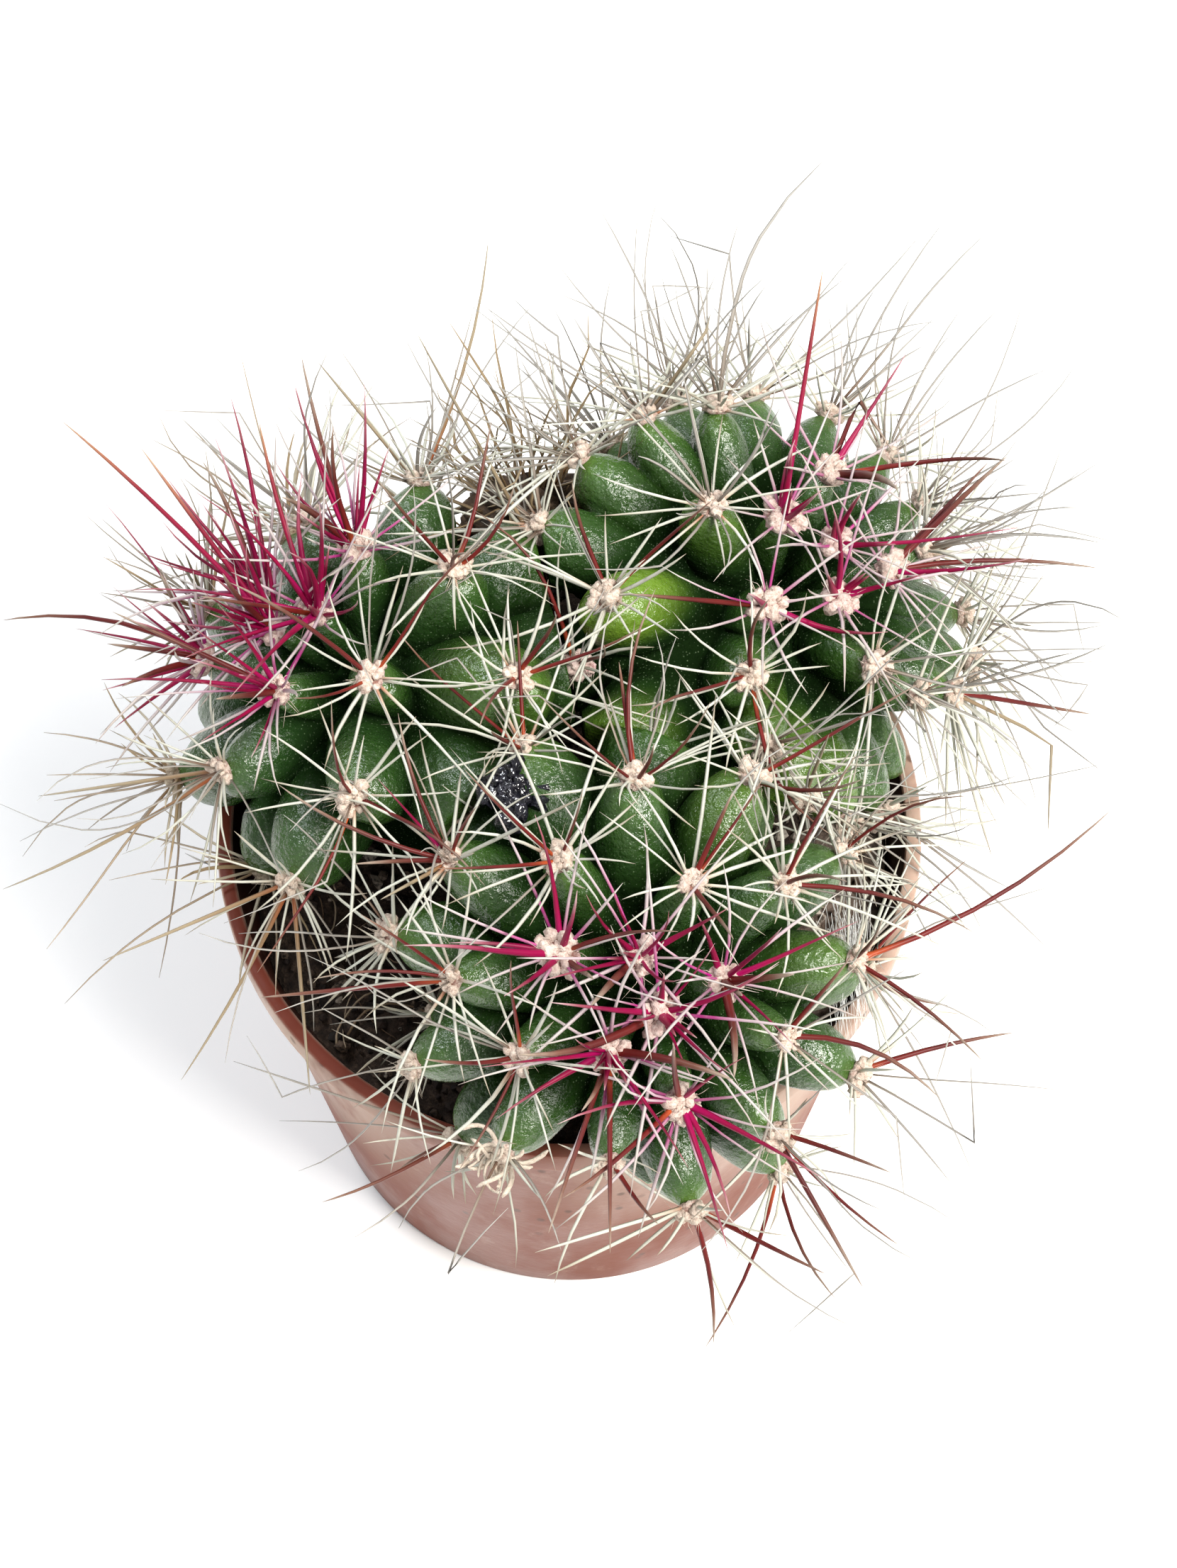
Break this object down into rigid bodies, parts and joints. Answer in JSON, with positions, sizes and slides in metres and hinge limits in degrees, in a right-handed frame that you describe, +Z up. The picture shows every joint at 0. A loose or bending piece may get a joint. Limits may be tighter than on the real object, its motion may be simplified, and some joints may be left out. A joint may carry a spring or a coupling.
{
  "type": "potted barrel cactus",
  "caption": "Cluster of small round spiny barrel cactus heads with tubercled ribs, growing together in a round plastic nursery pot of soil.",
  "frame": {"origin": "middle of the pot's flat base, on the surface that it stands on", "axes": "+Z up along the pot's axis, -Y towards the front of the plant, +X to the viewer's right"},
  "size_m": [0.1098, 0.1121, 0.1068],
  "materials": {
    "pot_plastic": "satin",
    "soil": "matte",
    "cactus_skin": "satin"
  },
  "bodies": {
    "root": {"pot": "pot_plastic", "soil": "soil", "head_left": "cactus_skin", "head_right": "cactus_skin", "head_front": "cactus_skin"}
  },
  "joints": []
}
